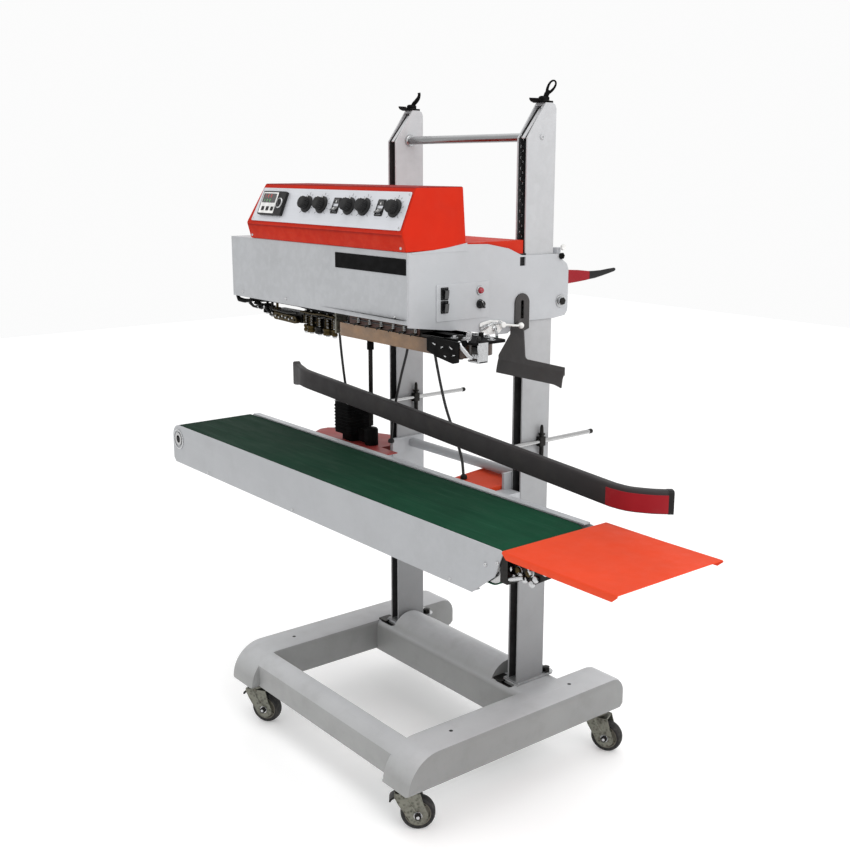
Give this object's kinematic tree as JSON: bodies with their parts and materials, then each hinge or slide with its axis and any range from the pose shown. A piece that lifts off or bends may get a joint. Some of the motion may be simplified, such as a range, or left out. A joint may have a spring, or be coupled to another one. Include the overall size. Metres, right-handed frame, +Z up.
{
  "type": "continuous band sealer",
  "caption": "Upright continuous band sealer on casters: height-adjustable sealing head on two columns, belt conveyor with outfeed tray, and a sliding bag guide bar",
  "frame": {"origin": "on the floor under the middle of the machine", "axes": "+X along the conveyor towards the outfeed tray, -Y towards the operator, +Z up"},
  "size_m": [1.565, 0.66, 1.4933],
  "materials": {
    "belt_rubber": "dark green belt cover",
    "black_metal": "black enamel",
    "black_plastic": "matt black",
    "bright_steel": "turned steel",
    "charcoal_paint": "matt charcoal paint",
    "dark_steel": "blackened steel",
    "grey_paint": "light grey powder coat",
    "lamp_red": "translucent red lens",
    "panel_aluminium": "satin aluminium",
    "red_paint": "orange-red powder coat",
    "seal_band": "brown glass-cloth non-stick band",
    "wheel_rubber": "moulded rubber tread on a hard hub",
    "white_paint": "pale grey powder coat",
    "zinc": "bright zinc plate"
  },
  "bodies": {
    "base": {"base_frame": "grey_paint", "column_left": "grey_paint", "column_right": "grey_paint", "tie_rod": "bright_steel", "conveyor_frame": "white_paint", "conveyor_belt": "belt_rubber", "outfeed_tray": "red_paint", "shelf_left": "red_paint", "shelf_right": "red_paint", "drive_gearbox": "black_metal", "rod_clamp_left": "bright_steel", "rod_clamp_right": "bright_steel", "motor_cable": "black_plastic", "column_cable": "black_plastic", "conveyor_cable": "black_plastic"},
    "head": {"head_frame": "grey_paint", "head_casing": "white_paint", "side_plate": "white_paint", "rear_cover": "red_paint", "control_box": "red_paint", "panel_plate": "panel_aluminium", "temperature_controller": "black_plastic", "pilot_lamp": "lamp_red", "heater_block": "dark_steel", "infeed_guide": "dark_steel", "outfeed_guide": "charcoal_paint", "seal_band_front": "seal_band", "seal_band_rear": "seal_band"},
    "lift_screw_left": {"lift_screw_left": "bright_steel"},
    "lift_screw_right": {"lift_screw_right": "bright_steel"},
    "guide_bar": {"guide_bar": "charcoal_paint"},
    "drum_infeed": {"drum_infeed": "bright_steel"},
    "drum_outfeed": {"drum_outfeed": "bright_steel"},
    "drive_shaft_lower": {"drive_shaft_lower": "dark_steel"},
    "drive_shaft_upper": {"drive_shaft_upper": "black_metal"},
    "band_wheel_front_infeed": {"band_wheel_front_infeed": "bright_steel"},
    "band_wheel_front_outfeed": {"band_wheel_front_outfeed": "bright_steel"},
    "band_wheel_rear_infeed": {"band_wheel_rear_infeed": "bright_steel"},
    "band_wheel_rear_outfeed": {"band_wheel_rear_outfeed": "bright_steel"},
    "press_wheel": {"press_wheel": "bright_steel"},
    "knob_1": {"knob_1": "black_plastic"},
    "knob_2": {"knob_2": "black_plastic"},
    "knob_3": {"knob_3": "black_plastic"},
    "knob_4": {"knob_4": "black_plastic"},
    "knob_5": {"knob_5": "black_plastic"},
    "panel_rocker_1": {"panel_rocker_1": "black_plastic"},
    "panel_rocker_2": {"panel_rocker_2": "black_plastic"},
    "side_rocker_1": {"side_rocker_1": "black_plastic"},
    "side_rocker_2": {"side_rocker_2": "black_plastic"},
    "side_knob": {"side_knob": "black_plastic"},
    "rear_lever": {"rear_lever": "red_paint"},
    "release_lever": {"release_lever": "white_paint"},
    "caster_fork_front_right": {"caster_fork_front_right": "zinc"},
    "caster_wheel_front_right": {"caster_wheel_front_right": "wheel_rubber"},
    "caster_fork_rear_right": {"caster_fork_rear_right": "zinc"},
    "caster_wheel_rear_right": {"caster_wheel_rear_right": "wheel_rubber"},
    "caster_fork_front_left": {"caster_fork_front_left": "zinc"},
    "caster_wheel_front_left": {"caster_wheel_front_left": "wheel_rubber"},
    "caster_fork_rear_left": {"caster_fork_rear_left": "zinc"},
    "caster_wheel_rear_left": {"caster_wheel_rear_left": "wheel_rubber"}
  },
  "joints": [
    {"name": "head_lift", "type": "slide", "parent": "base", "child": "head", "axis": [0, 0, 1], "range_m": [-0.1, 0.15], "deforming": ["motor_cable", "column_cable", "conveyor_cable"]},
    {"name": "lift_screw_left_turn", "type": "hinge", "parent": "base", "child": "lift_screw_left", "pos_m": [-0.2615, 0.128, 1], "axis": [0, 0, 1], "range_deg": [-3650, 5450]},
    {"name": "lift_screw_right_turn", "type": "hinge", "parent": "base", "child": "lift_screw_right", "pos_m": [0.1785, 0.128, 1], "axis": [0, 0, 1], "range_deg": [-3650, 5450]},
    {"name": "guide_slide", "type": "slide", "parent": "base", "child": "guide_bar", "axis": [0, 1, 0], "range_m": [-0.09, 0.025]},
    {"name": "drum_infeed_spin", "type": "hinge", "parent": "base", "child": "drum_infeed", "pos_m": [-0.7465, -0.1505, 0.624], "axis": [0, 1, 0], "continuous": true},
    {"name": "drum_outfeed_spin", "type": "hinge", "parent": "base", "child": "drum_outfeed", "pos_m": [0.4755, -0.1505, 0.624], "axis": [0, 1, 0], "continuous": true},
    {"name": "drive_shaft_lower_spin", "type": "hinge", "parent": "base", "child": "drive_shaft_lower", "pos_m": [-0.3225, 0.046, 0.87], "axis": [0, 0, 1], "continuous": true},
    {"name": "drive_shaft_upper_spin", "type": "hinge", "parent": "head", "child": "drive_shaft_upper", "pos_m": [-0.3225, 0.046, 0.96], "axis": [0, 0, 1], "continuous": true},
    {"name": "band_wheel_front_infeed_spin", "type": "hinge", "parent": "head", "child": "band_wheel_front_infeed", "pos_m": [-0.0725, -0.18525, 0.978], "axis": [0, 0, 1], "continuous": true},
    {"name": "band_wheel_front_outfeed_spin", "type": "hinge", "parent": "head", "child": "band_wheel_front_outfeed", "pos_m": [0.2925, -0.18525, 0.978], "axis": [0, 0, 1], "continuous": true},
    {"name": "band_wheel_rear_infeed_spin", "type": "hinge", "parent": "head", "child": "band_wheel_rear_infeed", "pos_m": [-0.0725, -0.13475, 0.978], "axis": [0, 0, 1], "continuous": true},
    {"name": "band_wheel_rear_outfeed_spin", "type": "hinge", "parent": "head", "child": "band_wheel_rear_outfeed", "pos_m": [0.2925, -0.13475, 0.978], "axis": [0, 0, 1], "continuous": true},
    {"name": "press_wheel_spin", "type": "hinge", "parent": "head", "child": "press_wheel", "pos_m": [0.3335, -0.1765, 0.982], "axis": [0, 0, 1], "continuous": true},
    {"name": "knob_1_turn", "type": "hinge", "parent": "head", "child": "knob_1", "pos_m": [-0.1545, -0.23228, 1.2402], "axis": [0, -0.9208, 0.39], "range_deg": [-135, 135]},
    {"name": "knob_2_turn", "type": "hinge", "parent": "head", "child": "knob_2", "pos_m": [-0.0975, -0.23228, 1.2402], "axis": [0, -0.9208, 0.39], "range_deg": [-135, 135]},
    {"name": "knob_3_turn", "type": "hinge", "parent": "head", "child": "knob_3", "pos_m": [0.0025, -0.23228, 1.2402], "axis": [0, -0.9208, 0.39], "range_deg": [-135, 135]},
    {"name": "knob_4_turn", "type": "hinge", "parent": "head", "child": "knob_4", "pos_m": [0.0545, -0.23228, 1.2402], "axis": [0, -0.9208, 0.39], "range_deg": [-135, 135]},
    {"name": "knob_5_turn", "type": "hinge", "parent": "head", "child": "knob_5", "pos_m": [0.1545, -0.23228, 1.2402], "axis": [0, -0.9208, 0.39], "range_deg": [-135, 135]},
    {"name": "panel_rocker_1_tip", "type": "hinge", "parent": "head", "child": "panel_rocker_1", "pos_m": [-0.0465, -0.23228, 1.2402], "axis": [1, 0, 0], "range_deg": [0, 16]},
    {"name": "panel_rocker_2_tip", "type": "hinge", "parent": "head", "child": "panel_rocker_2", "pos_m": [0.1065, -0.23228, 1.2402], "axis": [1, 0, 0], "range_deg": [0, 16]},
    {"name": "side_rocker_1_tip", "type": "hinge", "parent": "head", "child": "side_rocker_1", "pos_m": [0.1981, -0.149, 1.077], "axis": [0, 1, 0], "range_deg": [-16, 0]},
    {"name": "side_rocker_2_tip", "type": "hinge", "parent": "head", "child": "side_rocker_2", "pos_m": [0.1981, -0.149, 1.051], "axis": [0, 1, 0], "range_deg": [-16, 0]},
    {"name": "side_knob_turn", "type": "hinge", "parent": "head", "child": "side_knob", "pos_m": [0.1999, -0.058, 1.051], "axis": [1, 0, 0], "range_deg": [-135, 135]},
    {"name": "rear_lever_clamp", "type": "hinge", "parent": "head", "child": "rear_lever", "pos_m": [0.1825, 0.177, 1.088], "axis": [1, 0, 0], "range_deg": [-25, 25]},
    {"name": "release_lever_turn", "type": "hinge", "parent": "head", "child": "release_lever", "pos_m": [0.1984, 0.002, 1.004], "axis": [1, 0, 0], "range_deg": [0, 40]},
    {"name": "caster_swivel_front_right", "type": "hinge", "parent": "base", "child": "caster_fork_front_right", "pos_m": [0.2525, -0.291, 0.095], "axis": [0, 0, 1], "continuous": true},
    {"name": "caster_roll_front_right", "type": "hinge", "parent": "caster_fork_front_right", "child": "caster_wheel_front_right", "pos_m": [0.26851, -0.27051, 0.036], "axis": [-0.788, 0.6157, 0], "continuous": true},
    {"name": "caster_swivel_rear_right", "type": "hinge", "parent": "base", "child": "caster_fork_rear_right", "pos_m": [0.2685, 0.255, 0.095], "axis": [0, 0, 1], "continuous": true},
    {"name": "caster_roll_rear_right", "type": "hinge", "parent": "caster_fork_rear_right", "child": "caster_wheel_rear_right", "pos_m": [0.29206, 0.26599, 0.036], "axis": [-0.4226, 0.9063, 0], "continuous": true},
    {"name": "caster_swivel_front_left", "type": "hinge", "parent": "base", "child": "caster_fork_front_left", "pos_m": [-0.3415, -0.29, 0.095], "axis": [0, 0, 1], "continuous": true},
    {"name": "caster_roll_front_left", "type": "hinge", "parent": "caster_fork_front_left", "child": "caster_wheel_front_left", "pos_m": [-0.31898, -0.277, 0.036], "axis": [-0.5, 0.866, 0], "continuous": true},
    {"name": "caster_swivel_rear_left", "type": "hinge", "parent": "base", "child": "caster_fork_rear_left", "pos_m": [-0.3415, 0.255, 0.095], "axis": [0, 0, 1], "continuous": true},
    {"name": "caster_roll_rear_left", "type": "hinge", "parent": "caster_fork_rear_left", "child": "caster_wheel_rear_left", "pos_m": [-0.3285, 0.27752, 0.036], "axis": [-0.866, 0.5, 0], "continuous": true}
  ],
  "couplings": [
    {"joint": "lift_screw_left_turn", "follows": "head_lift", "rad_per_m": 628.32},
    {"joint": "lift_screw_right_turn", "follows": "head_lift", "rad_per_m": 628.32},
    {"joint": "drum_outfeed_spin", "follows": "drum_infeed_spin", "ratio": 1},
    {"joint": "drive_shaft_lower_spin", "follows": "drum_infeed_spin", "ratio": 1},
    {"joint": "drive_shaft_upper_spin", "follows": "drum_infeed_spin", "ratio": 1},
    {"joint": "band_wheel_front_infeed_spin", "follows": "drum_infeed_spin", "ratio": -1.6548},
    {"joint": "band_wheel_front_outfeed_spin", "follows": "drum_infeed_spin", "ratio": -1.6548},
    {"joint": "band_wheel_rear_infeed_spin", "follows": "drum_infeed_spin", "ratio": 1.6548},
    {"joint": "band_wheel_rear_outfeed_spin", "follows": "drum_infeed_spin", "ratio": 1.6548},
    {"joint": "press_wheel_spin", "follows": "drum_infeed_spin", "ratio": -2.6923}
  ]
}
